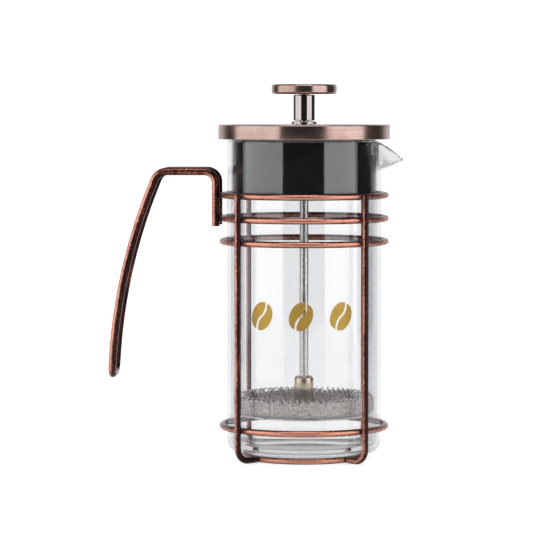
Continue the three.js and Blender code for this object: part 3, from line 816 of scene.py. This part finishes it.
GOLD = gold_print()
for number, place in enumerate((-1, 0, 1), start=1):
    name = f"gold_bean_{number}"
    bean = place_in_scene(name, mesh_from(printed_bean(place * BEAN_PITCH), name, GOLD))
    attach(bean, "beaker")
    print(name, len(bean.data.polygons), "faces")

# %% [markdown]
# ## Lid cap
# The cap is one pressed sheet: a flat top with a hole for the ferrule, a rim turned down, and the
# rim's cut edge hemmed inwards so that it is not sharp. The outline goes up the outside, across
# the top and back underneath at the thickness of the sheet. One more point near the rim keeps the
# smooth shading of the rounded edge from running across the flat.

# %% Pressed lid cap
CAP_SHEET, CAP_ROUND = 0.8 * MM, 0.8 * MM
HEM, FLAT_FROM_EDGE = 0.45 * MM, 3 * MM
FERRULE_BORE = 4.3 * MM
cap_out, cap_low, cap_high = radius("lid_cap"), bottom("lid_cap"), top("lid_cap")
bm = spun([
    (cap_out - CAP_SHEET, cap_low + HEM),
    *arc((cap_out - CAP_SHEET / 2, cap_low + CAP_SHEET / 2), CAP_SHEET / 2, 180, 360, steps=8),
    *arc((cap_out - CAP_ROUND, cap_high - CAP_ROUND), CAP_ROUND, 0, 90, steps=8),
    (cap_out - FLAT_FROM_EDGE, cap_high),
    (FERRULE_BORE, cap_high),
    (FERRULE_BORE, cap_high - CAP_SHEET),
    (cap_out - CAP_SHEET - HEM, cap_high - CAP_SHEET),
    (cap_out - CAP_SHEET, cap_high - CAP_SHEET - HEM),
    (cap_out - CAP_SHEET, cap_low + HEM),
], steps=192)
show(bm, "copper_lid_cap", "lid", BRUSHED_COPPER, "lid_cap")

# %% [markdown]
# ## Plastic skirt
# The insert is one moulding: a flange that sits on the rim, a boss for the ferrule, and a skirt
# that slips into the glass. Five slots on the spout's side let the coffee out. The body is spun
# first. A Boolean modifier could cut the slots, but it leaves long thin faces in the curved wall.
# So each slot is cut by four planes, the faces inside them are taken out of both walls, and the
# two holes are bridged to give the slot its sides.

# %% Skirt, flange and boss
SKIRT_WALL, FLANGE = 1.8 * MM, 1.8 * MM
BOSS_RADIUS, EASE = 9 * MM, 0.35 * MM
SLOTS, SLOT_PITCH, SLOT_WIDTH, SLOT_HEIGHT = 5, math.radians(7), 1.8 * MM, 14 * MM
SLOT_BELOW_FLANGE = 3 * MM
SKIRT_CLEARANCE = 0.7 * MM
skirt_out = glass_in - SKIRT_CLEARANCE
skirt_in = skirt_out - SKIRT_WALL
skirt_low, flange_low, boss_top = bottom("lid_skirt"), cap_low, top("lid_skirt")
flange_out = radius("lid_skirt")
bm = spun([
    (FERRULE_BORE, flange_low), (skirt_in, flange_low),
    *arc((skirt_in + EASE, skirt_low + EASE), EASE, 180, 270, steps=4),
    *arc((skirt_out - EASE, skirt_low + EASE), EASE, -90, 0, steps=4),
    (skirt_out, flange_low), (flange_out, flange_low),
    *arc((flange_out - EASE, flange_low + FLANGE - EASE), EASE, 0, 90, steps=4),
    (BOSS_RADIUS, flange_low + FLANGE),
    *arc((BOSS_RADIUS - EASE, boss_top - EASE), EASE, 0, 90, steps=4),
    (FERRULE_BORE, boss_top), (FERRULE_BORE, flange_low),
], steps=192)


def cut_slot(bm, azimuth):
    turn = Matrix.Rotation(azimuth, 3, UP)
    outward, across = turn @ Vector((1, 0, 0)), turn @ Vector((0, 1, 0))
    slot_top = flange_low - SLOT_BELOW_FLANGE
    slot_middle = AXIS + UP * (slot_top - SLOT_HEIGHT / 2)

    def inside(face):
        away = face.calc_center_median() - slot_middle
        return (away.dot(outward) > skirt_in / 2 and abs(away.dot(across)) < SLOT_WIDTH / 2
                and abs(away.z) < SLOT_HEIGHT / 2)

    for normal, half in ((across, SLOT_WIDTH / 2), (UP, SLOT_HEIGHT / 2)):
        for sign in (-1, 1):
            near = [face for face in bm.faces
                    if (face.calc_center_median() - AXIS).dot(outward) > skirt_in / 2
                    and skirt_low < face.calc_center_median().z < flange_low]
            geometry = near + list({edge for face in near for edge in face.edges})
            geometry += list({vert for face in near for vert in face.verts})
            side = slot_middle + sign * half * normal
            bmesh.ops.bisect_plane(bm, geom=geometry, plane_co=side, plane_no=normal)
    gone = [face for face in bm.faces if inside(face)]
    edges = {edge for face in gone for edge in face.edges}
    bmesh.ops.delete(bm, geom=gone, context="FACES")
    border = [edge for edge in edges if edge.is_valid and edge.is_boundary]
    bmesh.ops.bridge_loops(bm, edges=border)


for slot in range(SLOTS):
    cut_slot(bm, (slot - (SLOTS - 1) / 2) * SLOT_PITCH)
bmesh.ops.recalc_face_normals(bm, faces=bm.faces)
show(bm, "plastic_skirt", "lid", PLASTIC, "lid_skirt")

# %% [markdown]
# ## Ferrule and its nut
# A bright ferrule lines the hole for the rod. Its flange shows on top of the lid with the neck
# just above it, and its stem goes down through lid and boss to a nut. A six-sided circle could be
# extruded for the nut, but its corners would still have to be turned off. So the nut is made as a
# machinist makes it: a chamfered round is spun first, and six planes then cut its flats.

# %% Ferrule
ROD_BORE, STEM = 2.35 * MM, 4 * MM
BREAK, FIT = 0.3 * MM, 0.3 * MM
FERRULE_EDGE = 0.45 * MM
ferrule_out, ferrule_top, ferrule_low = radius("lid_ferrule"), top("lid_ferrule"), bottom("lid_ferrule")
bm = spun([
    (ROD_BORE, ferrule_low), (STEM - BREAK, ferrule_low), (STEM, ferrule_low + BREAK),
    (STEM, cap_high + FIT),
    (ferrule_out, cap_high + FIT),
    *arc((ferrule_out - FERRULE_EDGE, ferrule_top - FERRULE_EDGE), FERRULE_EDGE, 0, 90, steps=5),
    (ROD_BORE + BREAK, ferrule_top), (ROD_BORE, ferrule_top - BREAK), (ROD_BORE, ferrule_low),
], steps=64)
show(bm, "rod_ferrule", "bush", CHROME, "lid_ferrule")

# %% Hexagon nuts
MOUTH, CORNER_CHAMFER, CHAMFER_START = 0.2 * MM, 0.4 * MM, 0.97


def hexagon_nut(node, bore):
    """A nut of the CAD node's width and height, its corners chamfered top and bottom."""
    lowest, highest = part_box(node)
    corner = (highest.x - lowest.x) / 2
    low_z, high_z = bottom(node), top(node)
    flat = corner * math.cos(math.pi / 6)
    bm = spun([
        (bore, low_z + MOUTH), (bore + MOUTH, low_z),
        (flat * CHAMFER_START, low_z), (corner, low_z + CORNER_CHAMFER),
        (corner, high_z - CORNER_CHAMFER), (flat * CHAMFER_START, high_z),
        (bore + MOUTH, high_z), (bore, high_z - MOUTH), (bore, low_z + MOUTH),
    ], steps=72)
    for side in range(6):
        normal = Matrix.Rotation(math.radians(30 + 60 * side), 3, UP) @ Vector((1, 0, 0))
        cut = bmesh.ops.bisect_plane(bm, geom=[*bm.verts, *bm.edges, *bm.faces],
                                     plane_co=AXIS + normal * flat, plane_no=normal, clear_outer=True)
        border = [part for part in cut["geom_cut"] if isinstance(part, bmesh.types.BMEdge)]
        bmesh.ops.holes_fill(bm, edges=border)
    bmesh.ops.recalc_face_normals(bm, faces=bm.faces)
    return bm


show(hexagon_nut("ferrule_nut", STEM + FIT), "ferrule_hex_nut", "bush", STEEL, "ferrule_nut")

# %% [markdown]
# ## Knob, neck and rod
# The knob is a thick disc with a rolled edge, turned and brushed like the lid. Its neck is a
# mirror-bright cylinder with small chamfers, and the rod is plain drawn steel. All three could be
# one spin, but they are separate pieces in different metals. The knob's own spigot goes down into
# the neck and the rod comes up into it, so each outline follows the CAD inside as well.

# %% Knob disc
KNOB_EDGE, KNOB_CROWN = 1.2 * MM, 0.02 * MM
SPIGOT, SPIGOT_LENGTH = 2.4 * MM, 3 * MM
knob_out, knob_top = radius("knob_disc"), top("knob_disc")
knob_low = bottom("knob_disc") + SPIGOT_LENGTH + FIT
bm = spun([
    (0, bottom("knob_disc")), (SPIGOT, bottom("knob_disc")), (SPIGOT, knob_low),
    *arc((knob_out - KNOB_EDGE, knob_low + KNOB_EDGE), KNOB_EDGE, -90, 0, steps=8),
    *arc((knob_out - KNOB_EDGE, knob_top - KNOB_EDGE), KNOB_EDGE, 0, 86, steps=8),
    (knob_out / 2, knob_top - KNOB_CROWN), (0, knob_top),
], steps=160)
show(bm, "copper_knob", "plunger", BRUSHED_COPPER, "knob_disc")

# %% Neck and rod
ROD_IN_NECK, CHAMFER = 7.3 * MM, 0.4 * MM
SPIGOT_HOLE = SPIGOT + FIT
neck_out, neck_low, neck_top = radius("knob_neck"), bottom("knob_neck"), top("knob_neck")
bm = spun([
    (0, neck_low + ROD_IN_NECK), (ROD_BORE, neck_low + ROD_IN_NECK), (ROD_BORE, neck_low),
    (neck_out - CHAMFER, neck_low), (neck_out, neck_low + CHAMFER),
    (neck_out, neck_top - CHAMFER), (neck_out - CHAMFER, neck_top),
    (SPIGOT_HOLE, neck_top), (SPIGOT_HOLE, neck_top - SPIGOT_LENGTH - FIT),
    (0, neck_top - SPIGOT_LENGTH - FIT),
], steps=96)
show(bm, "bright_neck", "plunger", CHROME, "knob_neck")

rod_out, rod_low, rod_top = radius("plunger_rod"), bottom("plunger_rod"), top("plunger_rod")
bm = spun([
    (0, rod_low), (rod_out - BREAK, rod_low), (rod_out, rod_low + BREAK),
    (rod_out, rod_top - BREAK), (rod_out - BREAK, rod_top), (0, rod_top),
], steps=48)
show(bm, "steel_rod", "plunger", STEEL, "plunger_rod")

# %% [markdown]
# ## Coupling and stud
# The coupling screws onto the rod from above and onto the filter's stud from below. It has a round
# shoulder at the top and a lightly eased edge at the bottom, where it grips the spring plate. The
# stud shows the ridges of its thread. True threads are helices, but the ridges are so fine that
# plain rings, spun in one go with the rest of the stud, look the same.

# %% Coupling
SHOULDER, STUD_BORE = 1.5 * MM, 2.2 * MM
ROD_SEAT, STUD_SEAT = 5.3 * MM, 4.3 * MM
collar_out, collar_low, collar_top = radius("rod_coupling"), bottom("rod_coupling"), top("rod_coupling")
bm = spun([
    (0, collar_low + STUD_SEAT), (STUD_BORE, collar_low + STUD_SEAT), (STUD_BORE, collar_low),
    *arc((collar_out - BREAK, collar_low + BREAK), BREAK, -90, 0, steps=3),
    *arc((collar_out - SHOULDER, collar_top - SHOULDER), SHOULDER, 0, 90, steps=8),
    (ROD_BORE, collar_top), (ROD_BORE, collar_top - ROD_SEAT), (0, collar_top - ROD_SEAT),
], steps=96)
show(bm, "nickel_coupling", "plunger", NICKEL, "rod_coupling")

# %% Threaded stud
THREAD_PITCH, THREAD_DEPTH = 0.7 * MM, 0.25 * MM
stud_out, stud_low, stud_top = radius("clamp_stud"), bottom("clamp_stud"), top("clamp_stud")
ridges = int((stud_top - stud_low) / THREAD_PITCH)
outline = [(0, stud_low)]
for ridge in range(ridges):
    height = stud_low + (stud_top - stud_low) * ridge / ridges
    outline += [(stud_out - THREAD_DEPTH, height), (stud_out, height + THREAD_PITCH / 2)]
outline += [(stud_out - THREAD_DEPTH, stud_top), (0, stud_top)]
show(spun(outline, steps=40), "threaded_stud", "plunger", STEEL, "clamp_stud")
show(hexagon_nut("filter_nut", STUD_BORE), "filter_hex_nut", "plunger", STEEL, "filter_nut")

# %% [markdown]
# ## Filter plates
# Two stamped discs clamp the screen. The upper one carries the spring and the lower one presses
# the screen flat, and both are full of holes for the coffee. A flat sheet with holes is easiest
# made from its outlines: a circle for the edge and one for each hole, filled between them in one
# go and then given the sheet's thickness.

# %% Two perforated plates
LARGE_HOLES, NEAR_HOLES, EDGE_HOLES = (17, 8, 3.4), (9.2, 8, 1.3), (24.3, 24, 1.3)


def perforated_plate(node):
    """Each row of holes is its distance from the axis, their number and their radius, in mm."""
    bm = bmesh.new()
    low_z, sheet = bottom(node), top(node) - bottom(node)
    circles = [(0, 0, radius(node), 96), (0, 0, STUD_BORE, 24)]
    for distance, count, size in (LARGE_HOLES, NEAR_HOLES, EDGE_HOLES):
        for hole in range(count):
            angle, out = 2 * math.pi * hole / count, distance * MM
            circles.append((out * math.cos(angle), out * math.sin(angle), size * MM, 20))
    for x, y, size, sides in circles:
        matrix = Matrix.Translation(AXIS + Vector((x, y, low_z)))
        bmesh.ops.create_circle(bm, segments=sides, radius=size, matrix=matrix)
    bmesh.ops.triangle_fill(bm, edges=bm.edges, use_beauty=True, normal=UP)
    grown = bmesh.ops.extrude_face_region(bm, geom=bm.faces[:])["geom"]
    lifted = [part for part in grown if isinstance(part, bmesh.types.BMVert)]
    bmesh.ops.translate(bm, vec=UP * sheet, verts=lifted)
    bmesh.ops.recalc_face_normals(bm, faces=bm.faces)
    return bm


show(perforated_plate("spring_plate"), "upper_filter_plate", "plunger", STEEL, "spring_plate")
show(perforated_plate("cross_plate"), "lower_filter_plate", "plunger", STEEL, "cross_plate")

# %% [markdown]
# ## Edge spring
# A long, thin coil is laid in a ring round the filter and pushes the screen's edge against the
# glass. In the CAD it is a plain ring of the same thickness. Here the sweep carries a fine wire
# along the coil itself: each place is turned a little about the coil's own middle line, and much
# less about the press axis.

# %% Coil laid in a ring
COILS, COIL_STEPS = 66, 16
SPRING_WIRE, SPRING_SIDES = 0.34 * MM, 7
coil_half = (top("edge_spring") - bottom("edge_spring")) / 2
coil_ring = radius("edge_spring") - coil_half
out_to_coil = Matrix.Translation((coil_ring, 0, middle("edge_spring")))
out_to_wire = Matrix.Translation((coil_half - SPRING_WIRE, 0, 0))
coil_path = []
for step in range(COILS * COIL_STEPS):
    about_axis = Matrix.Rotation(2 * math.pi * step / (COILS * COIL_STEPS), 4, UP)
    about_coil = Matrix.Rotation(2 * math.pi * step / COIL_STEPS, 4, Vector((0, 1, 0)))
    coil_path.append(Matrix.Translation(AXIS) @ about_axis @ out_to_coil @ about_coil @ out_to_wire)
bm = sweep(coil_path, SPRING_WIRE, closed=True, sides=SPRING_SIDES)
show(bm, "edge_coil", "plunger", STEEL, "edge_spring")

# %% [markdown]
# ## Mesh screen
# The screen is a disc of woven steel, bent up into a low wall round the spring. The cloth is cut
# flat and pushed into that shape, so its wall is gathered in many small pleats and its cut edge is
# ragged. A spun outline gives the dish. Each point of the wall is then moved in and out by a wave,
# and down by noise, and both die away towards the flat. The UV map lays the weave out in metres.

# %% Pleated screen
SCREEN_SHEET, SCREEN_CORNER = 0.5 * MM, 2.2 * MM
PLEATS, PLEAT_DEPTH, PLEATS_FULL_AT = 76, 0.2 * MM, 2 / 3
UNEVENNESS, UNEVEN_SCALE = 0.4, 9
RAGGED_EDGE, RAGGED_SCALE = 1.2 * MM, 14
WALL_ROWS, SCREEN_INSET = 5, 0.02 * MM
screen_out = radius("mesh_screen") - SCREEN_INSET
screen_low, screen_top = bottom("mesh_screen"), top("mesh_screen")
turn_out = (screen_out - SCREEN_CORNER, screen_low + SCREEN_CORNER)
wall_rows = [turn_out[1] + (screen_top - turn_out[1]) * row / WALL_ROWS
             for row in range(1, WALL_ROWS + 1)]
bm = spun([
    (STUD_BORE, screen_low), (screen_out / 2, screen_low),
    *arc(turn_out, SCREEN_CORNER, -90, 0, steps=6),
    *[(screen_out, height) for height in wall_rows],
    *[(screen_out - SCREEN_SHEET, height) for height in reversed(wall_rows)],
    *arc(turn_out, SCREEN_CORNER - SCREEN_SHEET, 0, -90, steps=6),
    (screen_out / 2, screen_low + SCREEN_SHEET), (STUD_BORE, screen_low + SCREEN_SHEET),
    (STUD_BORE, screen_low),
], steps=4 * PLEATS)

for vert in bm.verts:
    spread = vert.co - AXIS
    angle = math.atan2(spread.y, spread.x)
    risen = max(0.0, (vert.co.z - screen_low) / (screen_top - screen_low))
    here = Vector((math.cos(angle), math.sin(angle), 0))
    uneven = 1 - UNEVENNESS + UNEVENNESS * noise.noise(here * UNEVEN_SCALE)
    ragged = noise.noise((here + UP) * RAGGED_SCALE)
    vert.co.z -= RAGGED_EDGE * risen**3 * (0.5 + ragged)
    gathered = PLEAT_DEPTH * min(1, risen / PLEATS_FULL_AT) * uneven
    vert.co += level(spread) * (gathered * (math.sin(angle * PLEATS) - 1))
weave = bm.loops.layers.uv.new("weave")
for face in bm.faces:
    centre = face.calc_center_median() - AXIS
    middle_angle = math.atan2(centre.y, centre.x)
    upright = abs(face.normal.z) < 0.5
    for loop in face.loops:
        spread = loop.vert.co - AXIS
        turn = math.remainder(math.atan2(spread.y, spread.x) - middle_angle, 2 * math.pi) + middle_angle
        loop[weave].uv = (turn * screen_out, spread.z) if upright else (spread.x, spread.y)
show(bm, "woven_screen", "plunger", SCREEN, "mesh_screen")

# %% [markdown]
# ## Studio
# The press stands on a plain white table against white. The table glows a little, as a light table
# does, so that no shadow and no far edge shows. Bright metal and glass are shaped by what they
# reflect, so the room matters more than the lamps: two tall soft boxes left and right, a softer
# one overhead, a white wall behind, and darkness in between and behind the camera. The boxes are
# area lights that the camera does not see, and the world gives the wall and the dark.

# %% Table
TABLE_SIZE, TABLE_GLOW = 1.0, 0.5


def white_table():
    tree, shader, finish = new_finish(
        "white_table", roughness=0.6, emission_color=(*grey(1), 1), emission_strength=TABLE_GLOW)
    grain = speckle(tree, on_object(tree), scale=30, detail=2.0)
    drive(tree, shader, "Base Color", grain, (0.3, grey(0.49)), (0.7, grey(0.51)))
    return finish


bm = bmesh.new()
bmesh.ops.create_grid(bm, x_segments=1, y_segments=1, size=TABLE_SIZE / 2)
table = place_in_scene("white_table_top", mesh_from(bm, "white_table_top", white_table()))
print("table", TABLE_SIZE, "m square")

# %% [markdown]
# ## Camera
# A long lens from far off keeps the upright wires nearly parallel, where a short one would make
# them lean. The camera stands a little above the lid, so that the rings open into narrow ovals. It
# is aimed left of the press axis, because the handle reaches out on that side.

# %% Camera
CAMERA_TURN = math.radians(2.2)
CAMERA_DISTANCE, CAMERA_HEIGHT = 1.326, 0.1655
AIM_LEFT, AIM_HEIGHT = 0.0175, 0.0894
FIELD = math.radians(10.69)

towards = Vector((math.sin(CAMERA_TURN), -math.cos(CAMERA_TURN), 0))
right = Vector((math.cos(CAMERA_TURN), math.sin(CAMERA_TURN), 0))
lens = bpy.data.cameras.new("camera")
lens.angle = FIELD
camera = place_in_scene("camera", lens)
camera.location = AXIS + towards * CAMERA_DISTANCE + UP * CAMERA_HEIGHT
aim = AXIS - right * AIM_LEFT + UP * AIM_HEIGHT
camera.rotation_euler = (aim - camera.location).to_track_quat("-Z", "Y").to_euler()
bpy.context.scene.camera = camera
print(f"camera {CAMERA_DISTANCE} m away, {CAMERA_HEIGHT} m up")

# %% Soft boxes
BOXES_AIM_AT = AXIS + UP * 0.09


def soft_box(name, degrees_right, degrees_up, distance, width, height, power):
    """A soft box as seen from the press, turned right and up from the way to the camera."""
    turn, rise = math.radians(degrees_right), math.radians(degrees_up)
    flat = towards * math.cos(turn) + right * math.sin(turn)
    out = flat * math.cos(rise) + UP * math.sin(rise)
    light = bpy.data.lights.new(name, "AREA")
    light.shape, light.size, light.size_y, light.energy = "RECTANGLE", width, height, power
    box = place_in_scene(name, light)
    box.location = BOXES_AIM_AT + out * distance
    box.rotation_euler = (-out).to_track_quat("-Z", "Y").to_euler()
    box.visible_camera = False
    print(f"{name}: {width} x {height} m, {power} W")


soft_box("left_soft_box", -67.5, 4, distance=1.0, width=1.42, height=1.5, power=12)
soft_box("right_soft_box", 58, 4, distance=1.0, width=1.05, height=1.5, power=9.8)
soft_box("overhead_soft_box", 0, 62, distance=1.2, width=1.0, height=0.6, power=6)

# %% [markdown]
# ## The room
# What lies far off is the world. Seen directly, or through the glass, it is plain white. Only a
# surface that mirrors it sees the dark studio with the white wall, because the darkness is there
# to draw edges on the metal and would spoil the background. The Light Path node tells the two
# apart: its glossy depth counts the mirrors that a ray has met so far.

# %% World: white wall behind, dark elsewhere
WALL_HALF_ANGLE, FADE_OUT, FADE_IN = math.radians(46), 0.12, 0.1
DARK, WALL, PLAIN = 0.03, 0.9, 1.3
GLASS_BOUNCES = 24

world = bpy.data.worlds.new("studio")
world.use_nodes = True
bpy.context.scene.world = world
tree = world.node_tree
direction = add(tree, "TexCoord").outputs["Generated"]
flat = add(tree, "VectorMath", {0: direction, 1: (1, 1, 0)}, operation="MULTIPLY").outputs[0]
flat = add(tree, "VectorMath", {0: flat}, operation="NORMALIZE").outputs[0]
behind = add(tree, "VectorMath", {0: flat, 1: -towards}, operation="DOT_PRODUCT").outputs["Value"]
wall_edge = math.cos(WALL_HALF_ANGLE)
wall = ramp(tree, behind, [(wall_edge - FADE_OUT, grey(DARK)), (wall_edge + FADE_IN, grey(WALL))])
mirrored = maths(tree, "GREATER_THAN", add(tree, "LightPath").outputs["Glossy Depth"], 0.5)
room = mixed(tree, "MIX", mirrored, (*grey(PLAIN), 1), wall)
tree.links.new(room, tree.nodes["Background"].inputs["Color"])
bpy.context.scene.view_settings.view_transform = "Standard"
bpy.context.scene.cycles.transmission_bounces = GLASS_BOUNCES
bpy.context.scene.cycles.max_bounces = GLASS_BOUNCES
print("world: wall", WALL, "dark", DARK)
